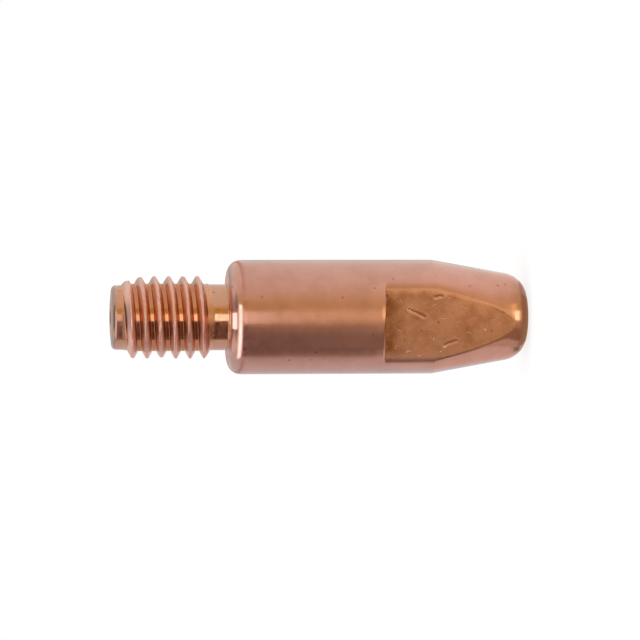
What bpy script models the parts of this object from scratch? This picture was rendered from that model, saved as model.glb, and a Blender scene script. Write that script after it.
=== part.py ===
"""Welding contact tip: one turned copper piece with an M6 stub, a round body, two pressed flats and a wire bore.

It stands on its nose. The origin is the middle of the nose face and +Z runs up the bore to the threaded end.
"""

import math

import bmesh
import bpy
from mathutils import Matrix, Vector

MM = 0.001

# Lengths along the bore, measured up from the nose face or down from the threaded end
BODY_LENGTH = 21.05 * MM
STUB_LENGTH = 8.15 * MM
CONE_LENGTH = 6.7 * MM
FLATS_LENGTH = 10.25 * MM
PILOT_LENGTH = 0.8 * MM
NECK_LENGTH = 1.15 * MM

# Turned diameters
BODY_DIAMETER = 8.0 * MM
NECK_DIAMETER = 4.62 * MM
PILOT_DIAMETER = 4.5 * MM
ACROSS_FLATS = 6.0 * MM
BORE_DIAMETER = 1.2 * MM
LEAD_IN_DIAMETER = 2.4 * MM

# Thread: M6 x 1, right-handed, with the ISO shares of the pitch left flat at crest and root.
# CREST_ANGLE is where the crest's line would meet the shoulder's plane.
THREAD_MAJOR_DIAMETER = 5.8 * MM
THREAD_PITCH = 1.0 * MM
CREST_SHARE = 1 / 8
ROOT_SHARE = 1 / 4
HALF_FLANK_ANGLE = math.radians(30)
CREST_ANGLE = math.radians(-21.6)

# Edges
SHOULDER_RADIUS = 1.0 * MM
NOSE_RADIUS = 1.6 * MM
NOSE_HALF_ANGLE = math.radians(10.2)
PILOT_CHAMFER = 0.3 * MM
BORE_CHAMFER = 0.15 * MM

# How finely round stretches are divided
SIDES = 48
ARC_STEPS = 6

# How far a cutter runs past what it cuts, and how far the thread tool stays off the shoulder
OVERRUN = 1.0 * MM
TOOL_CLEARANCE = 0.05 * MM

OVERALL_LENGTH = BODY_LENGTH + STUB_LENGTH
COPPER = {"color": (0.78, 0.42, 0.30, 1.0), "metallic": 1.0, "roughness": 0.35}


def clear_scene():
    for obj in list(bpy.data.objects):
        bpy.data.objects.remove(obj, do_unlink=True)


def new_collection(name):
    collection = bpy.data.collections.new(name)
    bpy.context.scene.collection.children.link(collection)
    return collection


def object_from(bm, name, collection):
    mesh = bpy.data.meshes.new(name)
    bm.to_mesh(mesh)
    bm.free()
    obj = bpy.data.objects.new(name, mesh)
    collection.objects.link(obj)
    return obj


def arc(center, radius, start, end):
    """Points of an arc in the (radius, height) plane, both ends included; angles are from the outward direction."""
    angles = [start + (end - start) * i / ARC_STEPS for i in range(ARC_STEPS + 1)]
    return [(center[0] + radius * math.cos(a), center[1] + radius * math.sin(a)) for a in angles]


def body_profile():
    """Shoulder face, its round, the body and the cone down to the nose face."""
    body_radius = BODY_DIAMETER / 2
    shoulder = arc(
        (body_radius - SHOULDER_RADIUS, BODY_LENGTH - SHOULDER_RADIUS), SHOULDER_RADIUS, math.pi / 2, 0
    )
    # The nose round touches the cone's line and the nose face
    cone_fall = (CONE_LENGTH - NOSE_RADIUS) * math.tan(NOSE_HALF_ANGLE)
    nose_center = (body_radius - cone_fall - NOSE_RADIUS / math.cos(NOSE_HALF_ANGLE), NOSE_RADIUS)
    nose = arc(nose_center, NOSE_RADIUS, -NOSE_HALF_ANGLE, -math.pi / 2)
    return shoulder + [(body_radius, CONE_LENGTH)] + nose


def stub_profile():
    """Threaded end, pilot, the blank that the thread is cut in, and the neck down to the shoulder."""
    pilot_radius = PILOT_DIAMETER / 2
    neck_radius = NECK_DIAMETER / 2
    major_radius = THREAD_MAJOR_DIAMETER / 2
    pilot_foot = OVERALL_LENGTH - PILOT_LENGTH
    neck_top = BODY_LENGTH + NECK_LENGTH
    return [
        (pilot_radius - PILOT_CHAMFER, OVERALL_LENGTH),
        (pilot_radius, OVERALL_LENGTH - PILOT_CHAMFER),
        (pilot_radius, pilot_foot),
        (major_radius, pilot_foot - (major_radius - pilot_radius)),
        (major_radius, neck_top + (major_radius - neck_radius)),
        (neck_radius, neck_top),
        (neck_radius, BODY_LENGTH),
    ]


def bore_profile():
    """The wire bore from the nose up, with its small chamfer there and the lead-in at the threaded end."""
    bore_radius = BORE_DIAMETER / 2
    lead_in_radius = LEAD_IN_DIAMETER / 2
    return [
        (bore_radius + BORE_CHAMFER, 0),
        (bore_radius, BORE_CHAMFER),
        (bore_radius, OVERALL_LENGTH - (lead_in_radius - bore_radius)),
        (lead_in_radius, OVERALL_LENGTH),
    ]


def turned_blank(collection):
    """The closed section of the whole tip, turned once round the bore's axis."""
    bm = bmesh.new()
    points = stub_profile() + body_profile() + bore_profile()
    verts = [bm.verts.new((radius, 0, height)) for radius, height in points]
    for vert, following in zip(verts, verts[1:] + verts[:1]):
        bm.edges.new((vert, following))
    tip = object_from(bm, "contact_tip", collection)
    screw = tip.modifiers.new("turned", "SCREW")
    screw.angle = math.tau
    screw.steps = SIDES
    screw.render_steps = SIDES
    screw.use_merge_vertices = True
    screw.merge_threshold = 1e-6
    screw.use_smooth_shade = True
    return tip


def thread_cutter(collection):
    """One groove of the thread, swept up a helix from just above the shoulder to past the threaded end."""
    major_radius = THREAD_MAJOR_DIAMETER / 2
    half_root = THREAD_PITCH * ROOT_SHARE / 2
    half_mouth = THREAD_PITCH * (1 - CREST_SHARE) / 2
    root_radius = major_radius - (half_mouth - half_root) / math.tan(HALF_FLANK_ANGLE)
    outside = major_radius + OVERRUN
    section = [
        (root_radius, -half_root),
        (major_radius, -half_mouth),
        (outside, -half_mouth),
        (outside, half_mouth),
        (major_radius, half_mouth),
        (root_radius, half_root),
    ]
    above_shoulder = TOOL_CLEARANCE + half_mouth
    lowest = BODY_LENGTH + above_shoulder
    highest = OVERALL_LENGTH - PILOT_LENGTH + half_mouth
    steps = math.ceil((highest - lowest) / THREAD_PITCH * SIDES)
    # The groove's middle lies half a pitch, which is half a turn, from the crest
    turned = CREST_ANGLE + math.tau * (above_shoulder / THREAD_PITCH - 0.5)

    bm = bmesh.new()
    start = Matrix.Rotation(turned, 4, "Z")
    verts = [bm.verts.new(start @ Vector((radius, 0, lowest + height))) for radius, height in section]
    face = bm.faces.new(verts)
    bmesh.ops.spin(
        bm,
        geom=[face, *face.edges, *face.verts],
        cent=(0, 0, 0),
        axis=(0, 0, 1),
        dvec=(0, 0, THREAD_PITCH / SIDES),
        angle=math.tau * steps / SIDES,
        steps=steps,
    )
    bmesh.ops.recalc_face_normals(bm, faces=bm.faces)
    return object_from(bm, "thread_groove", collection)


def flat_cutter(side, collection):
    """A block that leaves one flat, on the side of the bore given by +1 or -1 along Y."""
    depth = BODY_DIAMETER / 2
    bm = bmesh.new()
    bmesh.ops.create_cube(bm, size=1)
    bmesh.ops.scale(bm, vec=(BODY_DIAMETER + OVERRUN, depth, FLATS_LENGTH + OVERRUN), verts=bm.verts)
    middle = (0, side * (ACROSS_FLATS + depth) / 2, (FLATS_LENGTH - OVERRUN) / 2)
    bmesh.ops.translate(bm, vec=middle, verts=bm.verts)
    return object_from(bm, "flat_front" if side < 0 else "flat_back", collection)


def cut(obj, cutter):
    cutter.hide_render = True
    cutter.display_type = "WIRE"
    boolean = obj.modifiers.new(cutter.name, "BOOLEAN")
    boolean.operation = "DIFFERENCE"
    boolean.solver = "EXACT"
    boolean.object = cutter


def copper():
    material = bpy.data.materials.new("copper")
    material.use_nodes = True
    shader = material.node_tree.nodes["Principled BSDF"]
    shader.inputs["Base Color"].default_value = COPPER["color"]
    shader.inputs["Metallic"].default_value = COPPER["metallic"]
    shader.inputs["Roughness"].default_value = COPPER["roughness"]
    return material


def main():
    clear_scene()
    parts = new_collection("welding_contact_tip")
    cutters = new_collection("cutters")
    tip = turned_blank(parts)
    cut(tip, thread_cutter(cutters))
    for side in (-1, 1):
        cut(tip, flat_cutter(side, cutters))
    tip.data.materials.append(copper())


main()
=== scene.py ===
import math

import bpy
import bmesh
from mathutils import Matrix, Vector


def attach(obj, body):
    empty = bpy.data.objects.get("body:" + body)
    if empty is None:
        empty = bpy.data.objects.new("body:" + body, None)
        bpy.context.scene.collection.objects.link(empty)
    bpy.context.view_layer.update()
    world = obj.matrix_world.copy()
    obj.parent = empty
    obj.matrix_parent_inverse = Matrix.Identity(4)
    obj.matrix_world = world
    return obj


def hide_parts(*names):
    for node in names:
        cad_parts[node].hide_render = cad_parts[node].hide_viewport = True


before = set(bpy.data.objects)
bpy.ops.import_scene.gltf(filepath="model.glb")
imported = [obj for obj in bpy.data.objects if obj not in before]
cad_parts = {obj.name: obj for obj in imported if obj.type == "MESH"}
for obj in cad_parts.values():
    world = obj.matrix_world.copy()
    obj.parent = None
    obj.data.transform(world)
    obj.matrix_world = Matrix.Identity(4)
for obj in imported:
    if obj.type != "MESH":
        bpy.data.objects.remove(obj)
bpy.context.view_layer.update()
mm = 0.001


# Small helpers

def hexColor(code):
    # sRGB hex to the linear values that Blender works in
    values = [int(code[i:i + 2], 16) / 255 for i in (1, 3, 5)]
    return [v / 12.92 if v <= 0.04045 else ((v + 0.055) / 1.055) ** 2.4 for v in values] + [1.0]


def addNode(tree, kind, inputs=None, **settings):
    # an input takes a value, a socket, or a node, whose first output is then used
    node = tree.nodes.new(kind)
    for name, value in settings.items():
        setattr(node, name, value)
    for key, value in (inputs or {}).items():
        if isinstance(value, bpy.types.Node):
            value = value.outputs[0]
        if isinstance(value, bpy.types.NodeSocket):
            tree.links.new(value, node.inputs[key])
        else:
            node.inputs[key].default_value = value
    return node


def math2(tree, operation, *values):
    return addNode(tree, "ShaderNodeMath", dict(enumerate(values)), operation=operation)


def vectorMath(tree, operation, *values):
    return addNode(tree, "ShaderNodeVectorMath", dict(enumerate(values)), operation=operation)


def mapped(tree, value, low=0.0, high=1.0, first=0.0, last=1.0, kind="LINEAR"):
    # first at low and below, last at high and above
    return addNode(tree, "ShaderNodeMapRange", {
        "Value": value, "From Min": low, "From Max": high, "To Min": first, "To Max": last},
        interpolation_type=kind)


def eased(tree, value, low=0.0, high=1.0, first=0.0, last=1.0):
    return mapped(tree, value, low, high, first, last, "SMOOTHSTEP")


def rotated(tree, vector, angle, axis):
    return addNode(tree, "ShaderNodeVectorRotate", {"Vector": vector, "Angle": angle}, rotation_type=axis)


def bell(tree, value):
    # 1 at zero, falling to 0 at -1 and 1
    return math2(tree, "MAXIMUM", math2(tree, "SUBTRACT", 1.0, math2(tree, "MULTIPLY", value, value)), 0.0)


def mixColor(tree, factor, first, second):
    return addNode(tree, "ShaderNodeMix", {0: factor, 6: first, 7: second}, data_type="RGBA").outputs[2]


def newObject(name, mesh):
    obj = bpy.data.objects.new(name, mesh)
    bpy.context.scene.collection.objects.link(obj)
    return obj


def newGeometryTree(name, sockets):
    # the sockets are the sizes that a modifier sets
    tree = bpy.data.node_groups.new(name, "GeometryNodeTree")
    tree.interface.new_socket("Geometry", in_out="INPUT", socket_type="NodeSocketGeometry")
    for label, kind in sockets.items():
        tree.interface.new_socket(label, in_out="INPUT", socket_type="NodeSocket" + kind)
    tree.interface.new_socket("Geometry", in_out="OUTPUT", socket_type="NodeSocketGeometry")
    return tree, addNode(tree, "NodeGroupInput").outputs


def endTree(tree, geometry, material):
    real = addNode(tree, "GeometryNodeRealizeInstances", {"Geometry": geometry})
    finished = addNode(tree, "GeometryNodeSetMaterial", {"Geometry": real, "Material": material})
    addNode(tree, "NodeGroupOutput", {"Geometry": finished})
    return tree


def runTree(obj, tree, values):
    # evaluates the tree on the object and leaves a plain mesh, with no modifier on it
    modifier = obj.modifiers.new(tree.name, "NODES")
    modifier.node_group = tree
    for item in tree.interface.items_tree:
        if item.in_out == "INPUT" and item.name in values:
            modifier[item.identifier] = values[item.name]
    evaluated = obj.evaluated_get(bpy.context.evaluated_depsgraph_get())
    mesh = bpy.data.meshes.new_from_object(evaluated)
    obj.modifiers.remove(modifier)
    plainMesh = obj.data
    obj.data = mesh
    bpy.data.meshes.remove(plainMesh)
    return obj


# The camera: the tip stands on its nose, and the photo shows it lying to the left, so the camera is rolled

cameraSetup = {
    "azimuth": 9.8,            # degrees from square on to the front flat
    "elevation": 5.9,          # the threaded end is the nearer one
    "distance": 235 * mm,
    "aimHeight": 14.522 * mm,  # the point of the axis at the middle of the picture
    "drop": 0.216 * mm,        # the axis lies this far above the middle of the picture
    "roll": -0.17,             # degrees; the threaded end hangs a little
    "focalPixels": 3357,       # focal length in pixels of the 640 pixel frame
    "framePixels": 640,
    "sensor": 36.0,
    "nearest": 0.01,
    "farthest": 10.0,
}


def towards(azimuth, elevation):
    # a direction from the tip, its azimuth counted from the camera's own, positive to the top of the picture
    turn = math.radians(cameraSetup["azimuth"] + azimuth)
    rise = math.radians(elevation)
    return Vector((math.sin(turn) * math.cos(rise), -math.cos(turn) * math.cos(rise), math.sin(rise)))


def makeCamera(setup):
    backward = towards(0, setup["elevation"])
    up = Vector((0, 0, 1)).cross(backward).normalized()
    if up.dot(towards(90, 0)) < 0:
        up = -up
    right = up.cross(backward)
    aim = Vector((0, 0, setup["aimHeight"])) - up * setup["drop"]
    roll = Matrix.Rotation(math.radians(setup["roll"]), 3, "Z")
    turn = Matrix((right, up, backward)).transposed() @ roll
    camera = bpy.data.cameras.new("camera")
    camera.sensor_width = setup["sensor"]
    camera.lens = setup["focalPixels"] * setup["sensor"] / setup["framePixels"]
    camera.clip_start = setup["nearest"]
    camera.clip_end = setup["farthest"]
    obj = newObject("camera", camera)
    obj.matrix_world = Matrix.Translation(aim + backward * setup["distance"]) @ turn.to_4x4()
    bpy.context.scene.camera = obj


makeCamera(cameraSetup)
print("camera set")


# The tip's sizes, in metres; heights count from the nose face

tip = {
    "length": 29.2 * mm,
    "shoulder": 21.05 * mm,
    "coneTop": 6.7 * mm,
    "flatsTop": 10.25 * mm,
    "pilotFoot": 28.45 * mm,
    "threadFoot": 22.0 * mm,
    "bodyRadius": 4.0 * mm,
    "neckRadius": 2.31 * mm,
    "pilotRadius": 2.25 * mm,
    "boreRadius": 0.6 * mm,
    "leadInRadius": 1.2 * mm,
    "endDome": 0.1 * mm,       # the threaded end's face isn't quite flat
    "endRound": 0.33 * mm,
    "leadInRound": 0.04 * mm,
    "leadInFootRound": 0.1 * mm,
    "boreChamfer": 0.15 * mm,
    "boreRound": 0.03 * mm,
    "noseRound": 1.75 * mm,
    "coneAngle": 10.2,         # degrees between the cone's side and the axis
    "coneTopRound": 0.6 * mm,
    "easing": 0.993 * mm,      # the shoulder's round starts slowly, this far down,
    "easingAngle": 6,          # by so many degrees,
    "easingRound": 3.0 * mm,   # over this round
    "shoulderRound": 0.93 * mm,
    "neckRound": 0.05 * mm,
    # how finely it is divided
    "sides": 240,
    "arcSteps": 8,             # at most, in one arc
    "arcStep": 0.035 * mm,     # steps shorter than about this aren't needed
    "guard": 0.005 * mm,
    "longestRow": 1.5 * mm,
    "flatsRow": 0.09 * mm,     # rows along the flats are this close,
    "flatsReach": 0.8 * mm,    # and up to this far above them
    "mergeGap": 0.001 * mm,
    "shortestEdge": 0.0005 * mm,
    "sharpAngle": 40,          # degrees
}

flats = {
    "halfAcross": 3.0 * mm,
    "edgeRound": 0.14 * mm,    # the step's lip
    "lipRows": (-0.15, 0, 0.04, 0.15, 0.32, 0.55, 0.8, 1.1),    # heights of its rows, in shares of the lip
    "edgeBlend": 0.10 * mm,    # how softly a flat meets the round body
    "sideBlend": 0.62 * mm,    # more on the side where the press rolled the metal over,
    "sideRange": (1.0 * mm, 2.6 * mm),
    "otherBlend": 0.3 * mm,    # and a little more on the other side
    "otherRange": (-1.8 * mm, -2.8 * mm),
    "wave": 0.014 * mm,        # the flats aren't quite true
    "waveScale": 0.45,         # per mm
    "bow": 0.12 * mm,          # the step's edge is arched by this much
    "bowHalfWidth": 2.65 * mm,
    "bowFade": 1.5 * mm,       # and so is what lies up to this far from the edge
    "burr": 0.009 * mm,        # metal pushed up along the edges
    "burrWidth": 0.09 * mm,
    "burrFade": (0.8, 0.95),   # it ends in this share of the cone's length
    "dingDepth": 0.03 * mm,    # a knock on the body beside the step
    "dingMiddle": (0.55 * mm, 0.36 * mm),    # along X, and above the flats' top
    "dingReach": (1.0 * mm, 0.24 * mm),
    "dentDepth": 0.04 * mm,
    "dentWidth": 0.12 * mm,
    "dentUneven": (0.7, 1.5),  # how the width varies
    "dentEdge": 1.1,           # the hollow ends here, in widths from its middle
    "dentRidge": (0.4, 2.4),   # the metal pushed up round it starts and ends here
    "dentRidgeShare": 0.3,
    "shake": 0.1 * mm,         # the dents' edges are ragged by this much
    "shakeScale": 1.9,         # per mm
    "pressedFrom": 1.5 * mm,   # nearer the axis than this is the bore, which stays as it is
    # a face takes the pressed copper from these shares of the distance to a flat and of squareness to it
    "faceDepth": 0.975,
    "faceSquare": 0.985,
}

thread = {
    "pitch": 1.0 * mm,
    "crestRadius": 2.88 * mm,
    "rootRadius": 2.35 * mm,
    "crestFlat": 0.14 * mm,
    "rootFlat": 0.248 * mm,
    "crestRound": 0.1 * mm,
    "rootRound": 0.03 * mm,
    "startHeight": 21.11 * mm,    # of the crest on the +X side, below the thread's foot
    "lowRun": 0.6 * mm,           # the crest rises over this much height beside the neck
    "highRun": 0.66 * mm,         # and falls over this much beside the pilot
    "rootRun": 0.8 * mm,          # the roots rise over this much from the neck's and the pilot's radius
    "foot": 0.215 * mm,           # the thread's lower end is this far above the neck's,
    "footLean": 0.135 * mm,       # more on the +X side and less on the other
    "wear": 0.14 * mm,            # how much crests vary, rubbed and rolled over by handling
    "wearAlong": 0.6,             # how quickly the wear changes along the thread, per mm,
    "wearScale": 1.7,             # and round it
    "wearRange": (0.45, 0.75),
    "seed": 3.0,
    "arcSteps": 4,
    "rowStep": 0.3 * mm,
    "copperFrom": 0.02 * mm,      # above the shoulder, the cut copper starts here
}


# Outlines, as points of (radius, height)

def roundedPath(corners, steps):
    # corners are (radius, height, round). An arc that touches both sides takes a corner's place, in so many
    # steps at most and in fewer where it is small. A row of points just past each end of it keeps the
    # shading of the sides straight.
    points = []
    for i, (x, z, size) in enumerate(corners):
        here = Vector((x, z))
        if size == 0:
            points.append(here)
            continue
        before = (Vector(corners[i - 1][:2]) - here).normalized()
        after = (Vector(corners[i + 1][:2]) - here).normalized()
        half = before.angle(after) / 2
        middle = here + (before + after).normalized() * (size / math.sin(half))
        start = here + before * (size / math.tan(half)) - middle
        end = here + after * (size / math.tan(half)) - middle
        sweep = start.angle_signed(end)
        count = max(2, min(steps, math.ceil(abs(sweep) * size / tip["arcStep"])))
        arc = [middle + Matrix.Rotation(-sweep * k / count, 2) @ start for k in range(count + 1)]
        points += [arc[0] + before * tip["guard"], *arc, arc[-1] + after * tip["guard"]]
    return points


def withRows(points, longest):
    # longest(point) says how far apart the rows may be there
    rows = [points[0]]
    for a, b in zip(points, points[1:]):
        count = max(1, math.ceil((b - a).length / longest((a + b) / 2) - 0.01))
        rows += [a.lerp(b, k / count) for k in range(1, count + 1)]
    return rows


def sectionObject(name, points):
    mesh = bpy.data.meshes.new(name)
    edges = [(i, i + 1) for i in range(len(points) - 1)]
    mesh.from_pydata([(p[0], 0, p[1]) for p in points], edges, [])
    return newObject(name, mesh)


def bodyOutline():
    fall = tip["coneTop"] * math.tan(math.radians(tip["coneAngle"]))
    easingFall = tip["easing"] * math.tan(math.radians(tip["easingAngle"]))
    leadInFoot = tip["length"] - (tip["leadInRadius"] - tip["boreRadius"])
    corners = [
        (tip["pilotRadius"], tip["pilotFoot"], 0),
        (tip["pilotRadius"], tip["length"] - tip["endDome"], tip["endRound"]),
        (tip["leadInRadius"], tip["length"], tip["leadInRound"]),
        (tip["boreRadius"], leadInFoot, tip["leadInFootRound"]),
        (tip["boreRadius"], tip["boreChamfer"], tip["boreRound"]),
        (tip["boreRadius"] + tip["boreChamfer"], 0, tip["boreRound"]),
        (tip["bodyRadius"] - fall, 0, tip["noseRound"]),
        (tip["bodyRadius"], tip["coneTop"], tip["coneTopRound"]),
        *[(tip["bodyRadius"], tip["flatsTop"] + flats["edgeRound"] * k, 0) for k in flats["lipRows"]],
        (tip["bodyRadius"], tip["shoulder"] - tip["easing"], tip["easingRound"]),
        (tip["bodyRadius"] - easingFall, tip["shoulder"], tip["shoulderRound"]),
        (tip["neckRadius"], tip["shoulder"], tip["neckRound"]),
        (tip["neckRadius"], tip["threadFoot"], 0),
    ]

    def longest(point):
        # the wall of the bore needs no close rows
        outside = point[0] > 3 * tip["boreRadius"]
        onFlats = outside and point[1] < tip["flatsTop"] + tip["flatsReach"]
        return tip["flatsRow"] if onFlats else tip["longestRow"]

    return withRows(roundedPath(corners, tip["arcSteps"]), longest)


def threadOutline():
    # one pitch, from the middle of a root over the crest to the middle of the next root
    half = thread["pitch"] / 2
    rootEnd = half - thread["rootFlat"] / 2
    crestEnd = thread["crestFlat"] / 2
    corners = [
        (thread["rootRadius"], -half, 0),
        (thread["rootRadius"], -rootEnd, thread["rootRound"]),
        (thread["crestRadius"], -crestEnd, thread["crestRound"]),
        (thread["crestRadius"], crestEnd, thread["crestRound"]),
        (thread["rootRadius"], rootEnd, thread["rootRound"]),
        (thread["rootRadius"], half, 0),
    ]
    points = withRows(roundedPath(corners, thread["arcSteps"]), lambda point: thread["rowStep"])
    return [(p[0], p[1] + thread["startHeight"]) for p in points]


# Geometry Nodes: an outline turned about Z, with a lead for the thread and none for the plain turned shape

def sweptOutlineTree():
    tree, given = newGeometryTree("sweptOutline", {
        "Sides": "Int", "Steps": "Int", "Lead": "Float", "Low": "Float", "High": "Float",
        "Low Radius": "Float", "High Radius": "Float", "Root Radius": "Float", "Crest Radius": "Float",
        "Crest Start": "Float", "Low Run": "Float", "High Run": "Float", "Root Run": "Float",
        "Foot": "Float", "Foot Lean": "Float", "Wear": "Float", "Seed": "Float", "Material": "Material",
    })
    size = addNode(tree, "GeometryNodeAttributeDomainSize", {"Geometry": given["Geometry"]})
    rows = size.outputs["Point Count"]
    columns = addNode(tree, "FunctionNodeIntegerMath", {0: given["Steps"], 1: 1}, operation="ADD")
    grid = addNode(tree, "GeometryNodeMeshGrid", {"Vertices X": columns, "Vertices Y": rows})
    index = addNode(tree, "GeometryNodeInputIndex")
    step = addNode(tree, "FunctionNodeIntegerMath", {0: index, 1: rows}, operation="DIVIDE_FLOOR")
    row = addNode(tree, "FunctionNodeIntegerMath", {0: index, 1: rows}, operation="MODULO")
    position = addNode(tree, "GeometryNodeInputPosition")
    outline = addNode(tree, "GeometryNodeSampleIndex", {
        "Geometry": given["Geometry"], "Value": position, "Index": row}, data_type="FLOAT_VECTOR")
    point = addNode(tree, "ShaderNodeSeparateXYZ", {0: outline})

    turns = math2(tree, "DIVIDE", step, given["Sides"])
    angle = math2(tree, "MULTIPLY", turns, math.tau)
    risen = math2(tree, "MULTIPLY_ADD", turns, given["Lead"], point.outputs["Z"])
    height = addNode(tree, "ShaderNodeClamp", {"Value": risen, "Min": given["Low"], "Max": given["High"]})

    # the ends run out at 45 degrees
    aboveLow = math2(tree, "SUBTRACT", height, given["Low"])
    belowHigh = math2(tree, "SUBTRACT", given["High"], height)
    foot = math2(tree, "MULTIPLY_ADD", math2(tree, "COSINE", angle), given["Foot Lean"], given["Foot"])
    aboveFoot = math2(tree, "MAXIMUM", math2(tree, "SUBTRACT", aboveLow, foot), 0.0)
    lowLimit = math2(tree, "ADD", aboveFoot, given["Low Radius"])
    highLimit = math2(tree, "ADD", belowHigh, given["High Radius"])
    endLimit = math2(tree, "MINIMUM", lowLimit, highLimit)

    # wear takes a little off the crests here and there
    spread = math2(tree, "MULTIPLY", risen, thread["wearAlong"] / mm)
    around = addNode(tree, "ShaderNodeCombineXYZ", {"X": 1.0, "Z": spread})
    place = rotated(tree, around, angle, "Z_AXIS")
    grain = addNode(tree, "ShaderNodeTexNoise", {
        "Vector": place, "W": given["Seed"], "Scale": thread["wearScale"], "Detail": 2.0},
        noise_dimensions="4D")
    lost = mapped(tree, grain.outputs[0], *thread["wearRange"], 0.0, given["Wear"])

    # the crest grows out of the root at the start and sinks back into it at the end
    crestHeight = math2(tree, "MULTIPLY_ADD", turns, given["Lead"], given["Crest Start"])
    fromLow = math2(tree, "SUBTRACT", crestHeight, given["Low"])
    toHigh = math2(tree, "SUBTRACT", given["High"], crestHeight)
    share = math2(tree, "MINIMUM", math2(tree, "DIVIDE", fromLow, given["Low Run"]),
                  math2(tree, "DIVIDE", toHigh, given["High Run"]))
    fullness = eased(tree, share)
    depth = math2(tree, "SUBTRACT", given["Crest Radius"], given["Root Radius"])
    kept = math2(tree, "SUBTRACT", depth, lost)
    crestLimit = math2(tree, "MULTIPLY_ADD", kept, fullness, given["Root Radius"])

    # the root meets the neck and the pilot with no step
    ridge = math2(tree, "MINIMUM", point.outputs["X"], crestLimit)
    for away, end in ((aboveLow, "Low Radius"), (belowHigh, "High Radius")):
        sunk = math2(tree, "SUBTRACT", given["Root Radius"], given[end])
        near = eased(tree, away, 0.0, given["Root Run"], sunk, 0.0)
        ridge = math2(tree, "SUBTRACT", ridge, near)
    radius = math2(tree, "MINIMUM", ridge, endLimit)

    spoke = addNode(tree, "ShaderNodeCombineXYZ", {"X": radius, "Z": height})
    turned = rotated(tree, spoke, angle, "Z_AXIS")
    shaped = addNode(tree, "GeometryNodeSetPosition", {"Geometry": grid, "Position": turned})
    merged = addNode(tree, "GeometryNodeMergeByDistance", {"Geometry": shaped, "Distance": tip["mergeGap"]})
    return endTree(tree, merged, given["Material"])


# Geometry Nodes: the two pressed flats, with the step's lip, and the dents that the line mesh gives

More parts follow.
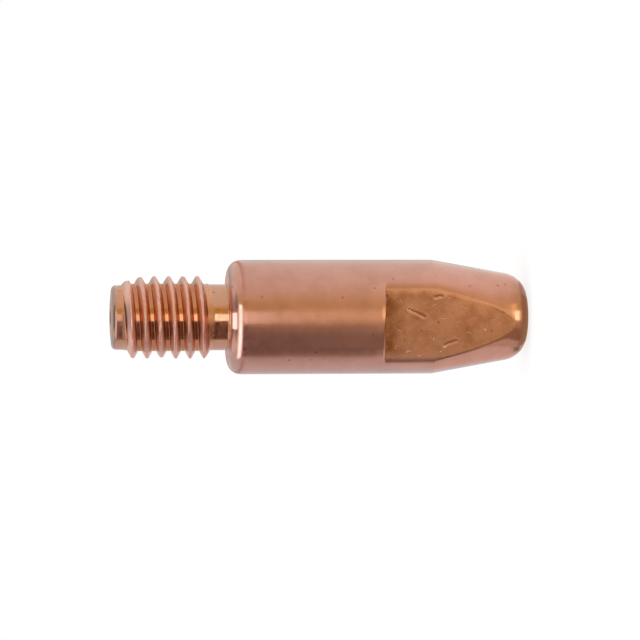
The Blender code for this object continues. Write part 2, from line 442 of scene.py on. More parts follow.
def pressedFlatsTree():
    tree, given = newGeometryTree("pressedFlats", {
        "Half Across": "Float", "Top": "Float", "Edge Round": "Float", "Edge Blend": "Float",
        "Side Blend": "Float", "Wave": "Float", "Bow": "Float", "Burr": "Float", "Ding Depth": "Float",
        "Dent Depth": "Float", "Dent Width": "Float", "Dents": "Object", "Material": "Material",
    })
    position = addNode(tree, "GeometryNodeInputPosition")
    x, y, z = addNode(tree, "ShaderNodeSeparateXYZ", {0: position}).outputs
    depth = math2(tree, "ABSOLUTE", y)
    side = math2(tree, "SIGN", y)

    # the lip: 0 at the flats' top, 1 where the round body is whole again
    aboveTop = math2(tree, "SUBTRACT", z, given["Top"])
    share = addNode(tree, "ShaderNodeClamp", {"Value": math2(tree, "DIVIDE", aboveTop, given["Edge Round"])})
    rest = math2(tree, "SUBTRACT", 1.0, share)
    bow = math2(tree, "SQRT", math2(tree, "SUBTRACT", 1.0, math2(tree, "MULTIPLY", rest, rest)))
    lip = math2(tree, "MULTIPLY", math2(tree, "SUBTRACT", 1.0, bow), given["Edge Round"])
    below = math2(tree, "LESS_THAN", aboveTop, -tip["mergeGap"])
    missing = math2(tree, "MULTIPLY_ADD", below, 0.5, math2(tree, "DIVIDE", lip, tip["bodyRadius"]))
    stays = math2(tree, "MULTIPLY", depth, math2(tree, "SUBTRACT", 1.0, missing))

    # a slightly wavy floor
    grain = addNode(tree, "ShaderNodeTexNoise", {
        "Vector": position, "Scale": flats["waveScale"] / mm, "Detail": 2.0}, noise_dimensions="3D")
    swing = math2(tree, "SUBTRACT", grain.outputs[0], 0.5)
    wave = math2(tree, "MULTIPLY", given["Wave"], 2.0)
    wavy = math2(tree, "MULTIPLY_ADD", swing, wave, given["Half Across"])

    # the dents in it: a hollow with a low ridge round it, ragged and uneven in width
    lines = addNode(tree, "GeometryNodeObjectInfo", {"Object": given["Dents"]})
    flatPlace = addNode(tree, "ShaderNodeCombineXYZ", {
        "X": x, "Y": math2(tree, "MULTIPLY", side, given["Half Across"]), "Z": z})
    jitter = addNode(tree, "ShaderNodeTexNoise", {
        "Vector": position, "Scale": flats["shakeScale"] / mm, "Detail": 2.0}, noise_dimensions="3D")
    shake = vectorMath(tree, "SUBTRACT", jitter.outputs["Color"], (0.5, 0.5, 0.5))
    shaken = vectorMath(tree, "MULTIPLY_ADD", shake, (flats["shake"], 0.0, flats["shake"]), flatPlace)
    near = addNode(tree, "GeometryNodeProximity", {
        "Geometry": lines.outputs["Geometry"], "Sample Position": shaken}, target_element="EDGES")
    uneven = mapped(tree, grain.outputs[0], 0.35, 0.65, *flats["dentUneven"])
    width = math2(tree, "MULTIPLY", given["Dent Width"], uneven)
    away = math2(tree, "DIVIDE", near.outputs["Distance"], width)
    edge = flats["dentEdge"]
    ridgeStart, ridgeEnd = flats["dentRidge"]
    hollow = eased(tree, away, 0.0, edge, 1.0, 0.0)
    ridgeOuter = eased(tree, away, edge, ridgeEnd, flats["dentRidgeShare"], 0.0)
    ridgeInner = eased(tree, away, ridgeStart, edge)
    ridge = math2(tree, "MULTIPLY", ridgeOuter, ridgeInner)
    dent = math2(tree, "MULTIPLY", math2(tree, "SUBTRACT", ridge, hollow), given["Dent Depth"])
    floor = math2(tree, "ADD", wavy, dent)

    # the flat meets the round body softly
    limit = math2(tree, "MAXIMUM", floor, stays)
    rolled = eased(tree, x, *flats["sideRange"], given["Edge Blend"], given["Side Blend"])
    lower = eased(tree, x, *flats["otherRange"], 0.0, flats["otherBlend"])
    blend = math2(tree, "MULTIPLY", math2(tree, "ADD", rolled, lower), rest)
    pressed = math2(tree, "SMOOTH_MIN", depth, limit, blend)

    # metal pushed up along the cone's edge of the flat, on the cone only
    apart = math2(tree, "DIVIDE", math2(tree, "SUBTRACT", depth, floor), flats["burrWidth"])
    fadeStart, fadeEnd = [tip["coneTop"] * part for part in flats["burrFade"]]
    onCone = eased(tree, z, fadeStart, fadeEnd, 1.0, 0.0)
    patchy = mapped(tree, grain.outputs[0], 0.42, 0.6, 0.1, 1.0)
    burr = math2(tree, "MULTIPLY", patchy, given["Burr"])
    pushed = math2(tree, "MULTIPLY", math2(tree, "MULTIPLY", bell(tree, apart), onCone), burr)
    raised = math2(tree, "ADD", pressed, pushed)

    # the knock beside the step: a shallow bowl that is wider than it is high
    across, up = [math2(tree, "DIVIDE", math2(tree, "SUBTRACT", value, middle), reach)
                  for value, middle, reach in zip((x, aboveTop), flats["dingMiddle"], flats["dingReach"])]
    off = math2(tree, "ADD", math2(tree, "MULTIPLY", across, across), math2(tree, "MULTIPLY", up, up))
    bowl = eased(tree, off, 0.0, 1.0, given["Ding Depth"], 0.0)
    newDepth = math2(tree, "SUBTRACT", raised, bowl)

    # the step's edge is arched a little towards the threaded end
    reach = math2(tree, "DIVIDE", x, flats["bowHalfWidth"])
    fromEdge = math2(tree, "ABSOLUTE", aboveTop)
    fade = eased(tree, fromEdge, 0.0, flats["bowFade"], given["Bow"], 0.0)
    newHeight = math2(tree, "MULTIPLY_ADD", bell(tree, reach), fade, z)

    moved = addNode(tree, "ShaderNodeCombineXYZ", {
        "X": x, "Y": math2(tree, "MULTIPLY", newDepth, side), "Z": newHeight})
    inReach = math2(tree, "LESS_THAN", aboveTop, flats["bowFade"])
    outside = math2(tree, "GREATER_THAN", depth, flats["pressedFrom"])
    shaped = addNode(tree, "GeometryNodeSetPosition", {
        "Geometry": given["Geometry"], "Position": moved,
        "Selection": math2(tree, "MULTIPLY", inReach, outside)})
    return endTree(tree, shaped, given["Material"])


# Dents on the flats: plain nicks from handling and gripping, each (x, z, length, slope in degrees) in mm.
# The broad ones are in the mesh, and the sharp ones, with a width as well, in the pressed copper's bump.

dents = {
    "front": [(0.75, 8.1, 1.2, 26), (-1.35, 5.7, 0.9, -20), (1.9, 6.6, 0.5, -8)],
    "back": [(-1.1, 6.2, 0.9, 12), (0.8, 8.6, 0.6, -30)],
}

nicks = [
    (0.72, 8.0, 1.5, 26, 0.09), (-1.38, 5.6, 1.2, -20, 0.09), (-0.4, 9.3, 0.5, 40, 0.07),
    (-1.9, 8.6, 0.6, -15, 0.08), (1.7, 9.2, 0.4, 65, 0.07), (-2.2, 7.9, 0.35, 20, 0.07),
    (-0.3, 7.1, 0.4, -60, 0.06), (1.35, 6.9, 0.5, -35, 0.07), (-1.0, 6.9, 0.35, 75, 0.06),
    (0.4, 6.3, 0.6, 12, 0.07), (1.9, 5.9, 0.35, 50, 0.06), (0.15, 5.2, 0.4, -28, 0.06),
    (1.2, 4.8, 0.45, 30, 0.07), (-0.6, 4.4, 0.5, 15, 0.06), (0.5, 3.9, 0.35, -50, 0.06),
    (-0.35, 3.3, 0.4, 62, 0.06), (0.3, 2.7, 0.3, -12, 0.06), (-1.6, 9.5, 0.4, -70, 0.07),
    (0.2, 9.7, 0.3, -20, 0.06), (-1.9, 6.4, 0.3, 35, 0.06),
]


def dentLines():
    verts = []
    for name, strokes in dents.items():
        y = flats["halfAcross"] * (-1 if name == "front" else 1)
        for x, z, length, slope in strokes:
            turn = math.radians(slope)
            reach = Vector((math.sin(turn), 0, math.cos(turn))) * (length / 2 * mm)
            middle = Vector((x * mm, y, z * mm))
            verts += [middle - reach, middle + reach]
    mesh = bpy.data.meshes.new("dentLines")
    mesh.from_pydata(verts, [(i, i + 1) for i in range(0, len(verts), 2)], [])
    return newObject("dentLines", mesh)


# Materials

# What the three finishes share, unless a look says otherwise; scales are per mm
sharedLook = {
    "stainScale": 0.55,
    "stainRange": (0.42, 0.75),
    "speckScale": 1.6,         # spots about 0.15 mm across, a few in each square millimetre
    "speckRange": (0.03, 0.2),
    "speckStrength": 0.7,
    "mottleScale": 2.6,
    "mottleRange": (0.3, 0.7),
    "smoother": 0.04,          # how far the roughness falls and rises with the mottle
    "rougher": 0.05,
    "anisotropy": 0.0,
    "toolMarks": 0.0,
}

# Copper bar turned on a lathe: satin, with the highlights drawn out along the tip across the fine tool marks,
# a few brown spots and a faint oxide cloud
turnedCopperLook = {
    "color": "#cd9a89",
    "stain": "#8f6a4c",
    "stainShare": 0.26,
    "speck": "#8a5136",
    "speckShare": 0.14,
    "roughness": 0.21,
    "anisotropy": 0.6,
    "toolMarks": 0.0006 * mm,
    "toolMarkScale": 8.0,      # real feed marks are about 0.06 mm apart; drawn at 0.12 mm, so that they show
    "mottle": 0.0011 * mm,
    "mottleScale": 2.0,
    "lipHighlightColor": "#f2b8a0",     # painted highlight on the lip of the front step
    "lipHighlightMiddle": (0.9 * mm, -tip["bodyRadius"], tip["flatsTop"] + 0.23 * mm),
    "lipHighlightReach": (0.75 * mm, 1.5 * mm, 0.2 * mm),
}

# Copper cut with a threading tool: brighter and pinker than the satin body, nearly polished in the grooves
threadCopperLook = {
    "color": "#d4a080",
    "stain": "#b06a40",
    "stainShare": 0.25,
    "speck": "#7a4228",
    "speckShare": 0.15,
    "roughness": 0.14,
    "mottle": 0.0005 * mm,
    "crestColor": "#e4b4a4",   # the crests are rubbed dull
    "crestRoughness": 0.4,
    "crestRadii": (2.62 * mm, 2.76 * mm),
    "crestMiddle": 25.25 * mm,
    "crestAway": (2.0 * mm, 2.4 * mm),    # as far from there, on the first and the last turn,
    "crestFurther": 0.2 * mm,             # they are rubbed further down
    "endColor": "#9c8680",     # the round of the sawn end, a little greyed
    "endShare": 0.7,
    "endHeights": (28.82 * mm, 28.93 * mm),
}

# Copper squeezed flat in a press: golden and uneven, with painted shade next to the step
pressedCopperLook = {
    "color": "#dba384",
    "stain": "#9a5e30",
    "stainShare": 0.55,
    "stainScale": 0.9,
    "speck": "#7a4420",
    "speckShare": 0.3,
    "roughness": 0.27,
    "mottle": 0.006 * mm,
    "mottleScale": 1.3,
    "footShadeColor": "#94581f",    # painted shade next to the step
    "footShadeRange": (tip["flatsTop"] - 1.5 * mm, tip["flatsTop"] - 0.3 * mm),
    "footShadeShare": 0.28,
    "footShadePatches": (7.0, -1.5),    # how strongly the stain's noise breaks it up
    "lowerSideLightColor": "#d9ab95",    # painted light over the lower side, where the flat's edge is rolled over
    "sideRange": (-2.7 * mm, -3.2 * mm),
    "sideUneven": -1.6 * mm,
    "lowerSideLightShare": 0.8,
    "nickDepth": 0.07 * mm,
    "nickPaleShare": 0.5,           # how much paler a nick is drawn: partly bare metal, partly a painted highlight
    "nickShake": 0.05 * mm,    # the nicks are ragged by this much
    "nickShakeScale": 3.0,
    "nickReach": 5.0 * mm,     # how far a nick reaches square to the flat: the back flat has none
    "paintedHighlights": [(1.03, 8.62, 0.22), (-1.56, 6.1, 0.22)],    # painted glints at the ends of two nicks: x, z and reach in mm
    "bareMetalAndGlintColor": "#ffd8be",
    "ridge": 0.009 * mm,       # metal pushed up along the edge that the flat has on the cone
    "ridgeWidth": 0.12 * mm,
    "ridgeStart": 1.0 * mm,    # it grows over this length of the cone
    "ridgePatches": (0.4, 0.6, 0.1, 1.0),
}


def newMaterial(name):
    material = bpy.data.materials.new(name)
    material.use_nodes = True
    material.node_tree.nodes.clear()
    return material, material.node_tree


def lengthOf(tree, vector):
    return vectorMath(tree, "LENGTH", vector).outputs["Value"]


def spotMask(tree, place, middle, reach, core=0.3):
    # 1 in the core of an ellipsoid, 0 outside it
    scaled = vectorMath(tree, "DIVIDE", vectorMath(tree, "SUBTRACT", place, middle), reach)
    return eased(tree, lengthOf(tree, scaled), core, 1.0, 1.0, 0.0)


def ridgeHeight(tree, look, at):
    # a low ridge beside the edge that the flat has on the cone
    x, y, z = at.outputs
    down = math2(tree, "MAXIMUM", math2(tree, "SUBTRACT", tip["coneTop"], z), 0.0)
    radius = math2(tree, "MULTIPLY_ADD", down, -math.tan(math.radians(tip["coneAngle"])), tip["bodyRadius"])
    chord = math2(tree, "SUBTRACT", math2(tree, "MULTIPLY", radius, radius), flats["halfAcross"] ** 2)
    edge = math2(tree, "SQRT", math2(tree, "MAXIMUM", chord, 0.0))
    inward = math2(tree, "SUBTRACT", edge, math2(tree, "ABSOLUTE", x))
    away = math2(tree, "SUBTRACT", math2(tree, "DIVIDE", inward, look["ridgeWidth"]), 1.0)
    return math2(tree, "MULTIPLY", bell(tree, away), mapped(tree, down, 0.0, look["ridgeStart"]))


def nickHeight(tree, look, place):
    # each nick is a narrow hollow, ragged by the noise
    ragged = addNode(tree, "ShaderNodeTexNoise", {
        "Vector": place, "Scale": look["nickShakeScale"] / mm, "Detail": 2.0})
    shake = vectorMath(tree, "SUBTRACT", ragged.outputs["Color"], (0.5, 0.5, 0.5))
    shaken = vectorMath(tree, "MULTIPLY_ADD", shake, (look["nickShake"], 0.0, look["nickShake"]), place)
    deepest = 0.0
    for x, z, length, slope, width in nicks:
        middle = vectorMath(tree, "SUBTRACT", shaken, (x * mm, -flats["halfAcross"], z * mm))
        turned = rotated(tree, middle, -math.radians(slope), "Y_AXIS")
        shrink = (1 / (width * mm), 1 / look["nickReach"], 2 / (length * mm))
        off = lengthOf(tree, vectorMath(tree, "MULTIPLY", turned, shrink))
        hollow = mapped(tree, off, 0.0, 1.0, 1.0, 0.0, "SMOOTHERSTEP")
        deepest = math2(tree, "MAXIMUM", deepest, hollow)
    return math2(tree, "SUBTRACT", 1.0, deepest)


def bumped(tree, height, distance, normal=None):
    below = {"Normal": normal} if normal else {}
    return addNode(tree, "ShaderNodeBump", {
        "Height": height, "Distance": distance, "Strength": 1.0, **below})


def copperMaterial(name, ownLook):
    look = {**sharedLook, **ownLook}
    material, tree = newMaterial(name)
    place = addNode(tree, "ShaderNodeTexCoord").outputs["Object"]
    at = addNode(tree, "ShaderNodeSeparateXYZ", {0: place})
    height = at.outputs["Z"]
    stainGrain = addNode(tree, "ShaderNodeTexNoise", {
        "Vector": place, "Scale": look["stainScale"] / mm, "Detail": 4.0, "Roughness": 0.6}).outputs[0]
    stainMask = mapped(tree, stainGrain, *look["stainRange"], 0.0, look["stainShare"])
    color = mixColor(tree, stainMask, hexColor(look["color"]), hexColor(look["stain"]))

    # where the tip is rubbed, browned or rolled
    # painted light and shade: a highlight on the front step's lip, shade next to the step, light over the
    # flats' lower side
    if "lipHighlightColor" in look:
        # painted highlight on the lip of the front step
        paintedHighlights = spotMask(tree, place, look["lipHighlightMiddle"], look["lipHighlightReach"])
        color = mixColor(tree, paintedHighlights, color, hexColor(look["lipHighlightColor"]))
    if "footShadeColor" in look:
        # painted shade on the flats next to the step, broken up by the stain's noise
        footShadeShare = mapped(tree, height, *look["footShadeRange"], 0.0, look["footShadeShare"])
        patches = math2(tree, "MULTIPLY_ADD", stainGrain, *look["footShadePatches"])
        footShadeMask = addNode(tree, "ShaderNodeClamp", {"Value": math2(tree, "MULTIPLY", footShadeShare, patches)})
        color = mixColor(tree, footShadeMask, color, hexColor(look["footShadeColor"]))
    if "lowerSideLightColor" in look:
        # painted light over the flats' lower side, with a ragged edge
        sideways = math2(tree, "MULTIPLY_ADD", stainGrain, look["sideUneven"], at.outputs["X"])
        rolled = mapped(tree, sideways, *look["sideRange"], 0.0, look["lowerSideLightShare"])
        color = mixColor(tree, rolled, color, hexColor(look["lowerSideLightColor"]))

    # brown spots, in some of the cells
    cells = addNode(tree, "ShaderNodeTexVoronoi", {
        "Vector": place, "Scale": look["speckScale"] / mm, "Randomness": 1.0})
    dot = mapped(tree, cells.outputs["Distance"], *look["speckRange"], look["speckStrength"], 0.0)
    draw = addNode(tree, "ShaderNodeSeparateColor", {0: cells.outputs["Color"]})
    chosen = math2(tree, "LESS_THAN", draw, look["speckShare"])
    color = mixColor(tree, math2(tree, "MULTIPLY", dot, chosen), color, hexColor(look["speck"]))

    if "nickDepth" in look:
        # nicks drawn paler, partly as bare metal and partly as a painted highlight; two nick ends get painted
        # glints
        nickSurface = nickHeight(tree, look, place)
        nickPaleness = math2(tree, "MULTIPLY_ADD", nickSurface, -look["nickPaleShare"], look["nickPaleShare"])
        color = mixColor(tree, nickPaleness, color, hexColor(look["bareMetalAndGlintColor"]))
        for x, z, reach in look["paintedHighlights"]:
            end = spotMask(tree, place, (x * mm, -flats["halfAcross"], z * mm),
                           (reach * mm, 0.5 * mm, reach * mm))
            color = mixColor(tree, end, color, hexColor(look["bareMetalAndGlintColor"]))
    mottle = addNode(tree, "ShaderNodeTexNoise", {
        "Vector": place, "Scale": look["mottleScale"] / mm, "Detail": 3.0, "Roughness": 0.55}).outputs[0]
    roughness = mapped(tree, mottle, *look["mottleRange"],
                       look["roughness"] - look["smoother"], look["roughness"] + look["rougher"])
    if "crestColor" in look:
        radius = lengthOf(tree, vectorMath(tree, "MULTIPLY", place, (1.0, 1.0, 0.0)))
        fromMiddle = math2(tree, "ABSOLUTE", math2(tree, "SUBTRACT", height, look["crestMiddle"]))
        further = mapped(tree, fromMiddle, *look["crestAway"], 0.0, look["crestFurther"])
        crest = mapped(tree, math2(tree, "ADD", radius, further), *look["crestRadii"])
        color = mixColor(tree, crest, color, hexColor(look["crestColor"]))
        roughness = math2(tree, "MULTIPLY_ADD", crest, look["crestRoughness"] - look["roughness"], roughness)
    if "endColor" in look:
        atEnd = mapped(tree, height, *look["endHeights"], 0.0, look["endShare"])
        color = mixColor(tree, atEnd, color, hexColor(look["endColor"]))

    bump = bumped(tree, mottle, look["mottle"])
    if look["toolMarks"]:
        along = addNode(tree, "ShaderNodeCombineXYZ", {"Z": height})
        marks = addNode(tree, "ShaderNodeTexNoise", {
            "Vector": along, "Scale": look["toolMarkScale"] / mm, "Detail": 1.0})
        bump = bumped(tree, marks.outputs[0], look["toolMarks"], bump)
    if "nickDepth" in look:
        bump = bumped(tree, nickSurface, look["nickDepth"], bump)
        uneven = mapped(tree, stainGrain, *look["ridgePatches"])
        ridge = math2(tree, "MULTIPLY", ridgeHeight(tree, look, at), uneven)
        bump = bumped(tree, ridge, look["ridge"], bump)
    shader = addNode(tree, "ShaderNodeBsdfPrincipled", {
        "Base Color": color, "Metallic": 1.0, "Roughness": roughness, "Normal": bump,
        "Anisotropic": look["anisotropy"], "Anisotropic Rotation": 0.25})
    if look["anisotropy"]:
        tangent = addNode(tree, "ShaderNodeTangent", direction_type="RADIAL", axis="Z")
        tree.links.new(tangent.outputs[0], shader.inputs["Tangent"])
    addNode(tree, "ShaderNodeOutputMaterial", {"Surface": shader})
    return material


turnedCopper = copperMaterial("turnedCopper", turnedCopperLook)
threadCopper = copperMaterial("cutThreadCopper", threadCopperLook)
pressedCopper = copperMaterial("pressedCopper", pressedCopperLook)
print("materials made")


# The tip

def makeTip():
    sweptOutline = sweptOutlineTree()
    noLimit = 1.0
    body = runTree(sectionObject("contactTip", bodyOutline()), sweptOutline, {
        "Sides": tip["sides"], "Steps": tip["sides"], "Lead": 0.0, "Low": -noLimit, "High": noLimit,
        "Low Radius": noLimit, "High Radius": noLimit, "Root Radius": 0.0, "Crest Radius": noLimit,
        "Crest Start": 0.0, "Low Run": 1.0 * mm, "High Run": 1.0 * mm, "Root Run": 1.0 * mm, "Foot": 0.0,
        "Foot Lean": 0.0, "Wear": 0.0, "Seed": 0.0, "Material": turnedCopper,
    })
    print("body turned:", len(body.data.polygons), "faces")
    rise = tip["pilotFoot"] + thread["pitch"] / 2 - thread["startHeight"]
    helix = runTree(sectionObject("thread", threadOutline()), sweptOutline, {
        "Sides": tip["sides"], "Steps": math.ceil(rise / thread["pitch"] * tip["sides"]),
        "Lead": thread["pitch"], "Low": tip["threadFoot"], "High": tip["pilotFoot"],
        "Low Radius": tip["neckRadius"], "High Radius": tip["pilotRadius"],
        "Root Radius": thread["rootRadius"], "Crest Radius": thread["crestRadius"],
        "Crest Start": thread["startHeight"], "Low Run": thread["lowRun"], "High Run": thread["highRun"],
        "Root Run": thread["rootRun"], "Foot": thread["foot"], "Foot Lean": thread["footLean"],
        "Wear": thread["wear"], "Seed": thread["seed"], "Material": threadCopper,
    })
    print("thread swept:", len(helix.data.polygons), "faces")
    lines = dentLines()
    body = runTree(body, pressedFlatsTree(), {
        "Half Across": flats["halfAcross"], "Top": tip["flatsTop"], "Edge Round": flats["edgeRound"],
        "Edge Blend": flats["edgeBlend"], "Side Blend": flats["sideBlend"], "Wave": flats["wave"],
        "Bow": flats["bow"], "Burr": flats["burr"], "Ding Depth": flats["dingDepth"],
        "Dent Depth": flats["dentDepth"], "Dent Width": flats["dentWidth"], "Dents": lines,
        "Material": turnedCopper,
    })
    bpy.data.objects.remove(lines)
    print("flats pressed")

    joined = bmesh.new()
    joined.from_mesh(body.data)
    joined.from_mesh(helix.data)
    bmesh.ops.remove_doubles(joined, verts=joined.verts, dist=tip["mergeGap"])
    bmesh.ops.dissolve_degenerate(joined, edges=joined.edges, dist=tip["shortestEdge"])
    stubFrom = tip["shoulder"] + thread["copperFrom"]
    pressedFrom = flats["halfAcross"] * flats["faceDepth"]
    for face in joined.faces:
        middle = face.calc_center_median()
        face.smooth = True
        onStub = middle.z > stubFrom and middle.xy.length > tip["leadInRadius"]
        low = middle.z < tip["flatsTop"]
        onFlat = low and abs(middle.y) > pressedFrom and abs(face.normal.y) > flats["faceSquare"]
        face.material_index = 1 if onStub else 2 if onFlat else 0
    openEdges = sum(1 for edge in joined.edges if not edge.is_manifold)
    mesh = bpy.data.meshes.new("contactTip")
    joined.to_mesh(mesh)
    joined.free()
    for material in (turnedCopper, threadCopper, pressedCopper):
        mesh.materials.append(material)
    mesh.set_sharp_from_angle(angle=math.radians(tip["sharpAngle"]))
    body.data = mesh
    bpy.data.objects.remove(helix)
    mesh.calc_loop_triangles()
    print("tip joined:", len(mesh.loop_triangles), "triangles,", openEdges, "open edges")
    return body


contactTip = makeTip()
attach(contactTip, "root")
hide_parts("contact_tip")


# The studio: a white floor and world, and a ring of panels that only the metal's reflections see

studio = {
    "floorSize": 4.0,
    "floorGlow": 0.8,
    "floorGrey": 0.22,
    "panelInner": 1.75 * mm,
    "panelRadius": 45 * mm,
    "panelFoot": 0.03 * mm,
    "panelTop": 70 * mm,
    "panelSides": 96,
    "peak": 3.0,
    # azimuth from the camera in degrees, positive to the top of the picture: tint, brightness
    "panels": [
        (-180, "#f4ece2", 0.64), (-172, "#f0eeea", 0.64), (-166, "#fff0dc", 1.0), (-158, "#f0f6ff", 0.85),
        (-143, "#e6f2ff", 0.9), (-120, "#f4f8ff", 0.86), (-108, "#f8f8ff", 0.82), (-96, "#f8f8ff", 0.74),
        (-88, "#fff8f8", 0.62), (-80, "#ffe8dc", 0.34), (-70, "#ffe4d6", 0.26), (-42, "#ffe4d6", 0.25),
        (-33, "#ffe2d0", 0.29), (-26, "#ffe0c4", 0.39), (-19, "#ffe0b8", 0.52), (-9, "#ffe2b4", 0.72),
        (-4, "#ffe6bc", 0.92), (8, "#ffe6bc", 0.95), (18, "#ffe4b0", 0.73), (30, "#ffe4b8", 0.79),
        (42, "#ffe8c8", 0.83), (52, "#fff0e0", 0.9), (68, "#fff4ee", 0.94), (80, "#fffaf6", 0.95),
        (100, "#ffffff", 0.98), (145, "#f6ffff", 1.0), (158, "#e0ecea", 0.85), (168, "#f0eeea", 0.64),
        (180, "#f4ece2", 0.64),
    ],
    # patches over them: azimuths, way out over the floor and up the wall in mm, soft edge, tint, brightness
    "patches": [
        ((-200, 200), (4.2, 47), 2.0, "", 1.1),                   # pale paper under the cone
        ((-130, -68), (4.2, 40), 2.0, "#fff4f0", 0.88),
        ((-68, -48), (3.0, 16), 2.0, "#ffeede", 0.7),
        ((-48, -22), (3.0, 16), 2.0, "#ffd8ac", 0.37),
        ((-200, 200), (0, 2.85), 0.5, "#ffdcb4", 0.44),           # painted warm shade under the nose, for the nose to reflect
        ((-200, -66), (0, 2.85), 0.5, "#fff0e4", 0.7),
        ((45, 200), (0, 2.85), 0.5, "#ffeadc", 0.6),
        ((-3, 24), (3.6, 5.6), 0.6, "#ffe2a8", 1.35),             # golden round a spark on the nose
        ((-7, 10), (3.1, 4.3), 0.6, "#fff6d4", 2.7),
        ((-62, -16), (46, 54.5), 3.0, "#ffe2d0", 0.36),
        ((-32, -13), (40, 48.5), 2.0, "#ffe6c8", 0.62),           # what the flat shows near the nose
        ((38, 200), (62.4, 72.5), 0.8, "#eaf4ff", 1.06),          # what the neck and the grooves show:
        ((38, 200), (64.6, 71.4), 0.8, "#ffd8c0", 0.74),
        ((13, 30), (62.4, 72.5), 0.8, "#ffcc70", 0.6),
        ((-200, -86), (62.4, 73), 0.8, "#eeeeff", 0.88),
        ((-200, -86), (64.6, 71.4), 0.8, "#ffe0dc", 0.6),
        ((-80, -12), (62.4, 72.5), 0.8, "#ffa078", 0.12),
        ((-12, 10), (62.9, 65), 0.5, "#f6fcff", 3.4),             # a small strong light
        ((-12, 10), (65, 71.4), 0.6, "#ffe8d0", 1.6),
        ((-12, 10), (71.4, 72.5), 0.6, "#fffaf8", 1.7),
        ((-10, 14), (59.5, 63), 1.2, "#ffe2bc", 0.34),
        ((-78, 12), (72.5, 81), 1.5, "#ecdcec", 0.6),             # and a wide pale one above
        ((-84, 22), (82, 114), 1.2, "#f6f8ff", 1.3),
    ],
    "patchSoft": 4.0,    # degrees, at their sides
    # cards close over the shoulder: azimuths, radii, tint, brightness
    "cardHeight": 21.9 * mm,
    "cardSides": 12,
    "cards": [
        ((-17, 6), (3.1 * mm, 4.5 * mm), "#f0f6ff", 3.0),
        ((-70, 18), (5.5 * mm, 8.5 * mm), "#f0f6ff", 3.5),
    ],
    "softbox": {
        "azimuth": -12,
        "elevation": 78,
        "distance": 220 * mm,
        "width": 90 * mm,
        "height": 80 * mm,
        "radiance": 4.0,
    },
    # the world that glossy rays see: how far a direction points to the front, and how high it is
    "world": {
        "white": "#ffffff",
        "front": (-0.2, 0.6),
        "frontHeights": (0.76, 0.83),
        "frontColor": "#6b584e",
        "overhead": (0.88, 0.97),
        "overheadColor": "#b4b8c4",
    },
}


def glossyOnly(obj):
    # reflectors show in the metal and nowhere else
    obj.visible_camera = False
    obj.visible_diffuse = False
    obj.visible_transmission = False
    obj.visible_volume_scatter = False
    obj.visible_shadow = False


def meshFrom(bm, name, material):
    mesh = bpy.data.meshes.new(name)
    bm.to_mesh(mesh)
    bm.free()
    mesh.materials.append(material)
    return mesh


def makeFloor():
    material, tree = newMaterial("whiteSweep")
    path = addNode(tree, "ShaderNodeLightPath")
    seen = math2(tree, "MAXIMUM", math2(tree, "MAXIMUM", path.outputs["Is Camera Ray"],
                                        path.outputs["Is Glossy Ray"]), path.outputs["Is Transmission Ray"])
    glow = addNode(tree, "ShaderNodeEmission", {
        "Color": hexColor("#ffffff"), "Strength": math2(tree, "MULTIPLY", seen, studio["floorGlow"])})
    matte = addNode(tree, "ShaderNodeBsdfDiffuse", {"Color": [studio["floorGrey"]] * 3 + [1.0]})
    addNode(tree, "ShaderNodeOutputMaterial", {
        "Surface": addNode(tree, "ShaderNodeAddShader", {0: glow, 1: matte})})
    bm = bmesh.new()
    bmesh.ops.create_grid(bm, x_segments=1, y_segments=1, size=studio["floorSize"] / 2)
    newObject("floor", meshFrom(bm, "floor", material))


def dimmed(code, brightness):
    return [value * brightness for value in hexColor(code)[:3]] + [1.0]


def band(tree, value, low, high, soft):
    # 1 between low and high, with soft edges
    risen = eased(tree, value, low - soft / 2, low + soft / 2)
    fallen = eased(tree, value, high - soft / 2, high + soft / 2, 1.0, 0.0)
    return math2(tree, "MULTIPLY", risen, fallen)


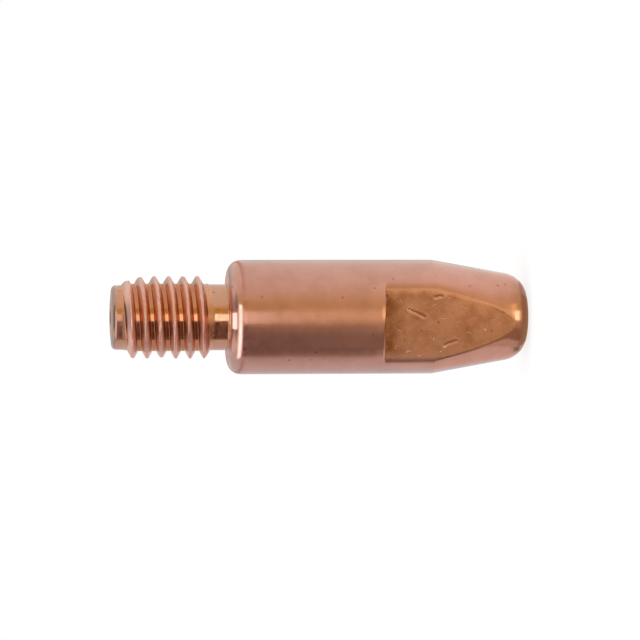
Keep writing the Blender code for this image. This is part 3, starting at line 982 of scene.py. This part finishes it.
def makePanels():
    edge = studio["panelRadius"]
    material, tree = newMaterial("studioPanels")
    place = addNode(tree, "ShaderNodeTexCoord").outputs["Object"]
    level = rotated(tree, place, math.radians(-cameraSetup["azimuth"]), "Z_AXIS")
    at = addNode(tree, "ShaderNodeSeparateXYZ", {0: level})
    angle = math2(tree, "ARCTAN2", at.outputs["X"], math2(tree, "MULTIPLY", at.outputs["Y"], -1.0))
    share = math2(tree, "MULTIPLY_ADD", angle, 1 / math.tau, 0.5)
    ramp = addNode(tree, "ShaderNodeValToRGB", {0: share})
    elements = ramp.color_ramp.elements
    while len(elements) < len(studio["panels"]):
        elements.new(0.5)
    for element, (azimuth, code, brightness) in zip(elements, studio["panels"]):
        element.position = azimuth / 360 + 0.5
    for element, (azimuth, code, brightness) in zip(elements, studio["panels"]):
        element.color = dimmed(code, brightness / studio["peak"])
    color = ramp.outputs[0]

    # the way out over the floor and then up the wall, in mm
    degrees = math2(tree, "MULTIPLY", angle, 180 / math.pi)
    radial = lengthOf(tree, place)
    onWall = math2(tree, "GREATER_THAN", radial, edge - 0.01 * mm)
    outward = addNode(tree, "ShaderNodeMix", {0: onWall, 2: radial, 3: edge})
    way = math2(tree, "MULTIPLY", 1 / mm, math2(tree, "ADD", at.outputs["Z"], outward))
    for azimuths, ways, soft, code, brightness in studio["patches"]:
        across = band(tree, degrees, *azimuths, studio["patchSoft"])
        mask = math2(tree, "MULTIPLY", across, band(tree, way, *ways, soft))
        if code:
            color = mixColor(tree, mask, color, dimmed(code, brightness / studio["peak"]))
        else:
            lift = math2(tree, "MULTIPLY_ADD", mask, brightness - 1.0, 1.0)
            color = addNode(tree, "ShaderNodeVectorMath", {0: color, 3: lift}, operation="SCALE").outputs[0]
    glow = addNode(tree, "ShaderNodeEmission", {"Color": color, "Strength": studio["peak"]})
    addNode(tree, "ShaderNodeOutputMaterial", {"Surface": glow})

    foot = studio["panelFoot"]
    count = studio["panelSides"]
    bm = bmesh.new()
    rings = []
    for radius, height in ((studio["panelInner"], foot), (edge, foot), (edge, studio["panelTop"])):
        turns = [math.tau * k / count for k in range(count)]
        rings.append([bm.verts.new((radius * math.cos(a), radius * math.sin(a), height)) for a in turns])
    for lower, upper in zip(rings, rings[1:]):
        for k in range(count):
            n = (k + 1) % count
            bm.faces.new((lower[k], lower[n], upper[n], upper[k]))
    glossyOnly(newObject("panels", meshFrom(bm, "panels", material)))


def makeCard(azimuths, radii, code, brightness):
    # it glows on the underside only, and rays from above pass through
    material, tree = newMaterial("studioCard")
    glow = addNode(tree, "ShaderNodeEmission", {"Color": hexColor(code), "Strength": brightness})
    upside = addNode(tree, "ShaderNodeNewGeometry").outputs["Backfacing"]
    addNode(tree, "ShaderNodeOutputMaterial", {"Surface": addNode(tree, "ShaderNodeMixShader", {
        0: upside, 1: glow, 2: addNode(tree, "ShaderNodeBsdfTransparent")})})
    count = studio["cardSides"]
    verts = []
    for k in range(count + 1):
        side = towards(azimuths[0] + (azimuths[1] - azimuths[0]) * k / count, 0)
        verts += [(side.x * radius, side.y * radius, studio["cardHeight"]) for radius in radii]
    mesh = bpy.data.meshes.new("card")
    mesh.from_pydata(verts, [], [(2 * k, 2 * k + 2, 2 * k + 3, 2 * k + 1) for k in range(count)])
    mesh.materials.append(material)
    glossyOnly(newObject("card", mesh))


def makeSoftbox(azimuth, elevation, distance, width, height, radiance):
    lamp = bpy.data.lights.new("softbox", "AREA")
    lamp.shape = "RECTANGLE"
    lamp.size = width
    lamp.size_y = height
    lamp.energy = radiance * math.pi * width * height
    obj = newObject("softbox", lamp)
    obj.visible_glossy = False
    direction = towards(azimuth, elevation)
    obj.location = Vector((0, 0, tip["shoulder"])) + direction * distance
    obj.rotation_euler = direction.to_track_quat("Z", "Y").to_euler()


def makeWorld(sky):
    world = bpy.data.worlds.new("studio")
    world.use_nodes = True
    tree = world.node_tree
    tree.nodes.clear()
    white = hexColor(sky["white"])
    direction = addNode(tree, "ShaderNodeTexCoord").outputs["Generated"]
    rise = addNode(tree, "ShaderNodeSeparateXYZ", {0: direction}).outputs["Z"]
    level = vectorMath(tree, "NORMALIZE", vectorMath(tree, "MULTIPLY", direction, (1.0, 1.0, 0.0)))
    ahead = vectorMath(tree, "DOT_PRODUCT", level, tuple(towards(0, 0))).outputs["Value"]
    front = eased(tree, ahead, *sky["front"])
    high = mapped(tree, rise, *sky["frontHeights"])
    overhead = mapped(tree, rise, *sky["overhead"])
    color = mixColor(tree, math2(tree, "MULTIPLY", front, high), white, hexColor(sky["frontColor"]))
    color = mixColor(tree, overhead, color, hexColor(sky["overheadColor"]))
    path = addNode(tree, "ShaderNodeLightPath")
    color = mixColor(tree, path.outputs["Is Glossy Ray"], white, color)
    background = addNode(tree, "ShaderNodeBackground", {"Color": color, "Strength": 1.0})
    addNode(tree, "ShaderNodeOutputWorld", {"Surface": background})
    bpy.context.scene.world = world


makeFloor()
makePanels()
for card in studio["cards"]:
    makeCard(*card)
makeSoftbox(**studio["softbox"])
makeWorld(studio["world"])
bpy.context.scene.view_settings.view_transform = "Standard"
print("studio built")
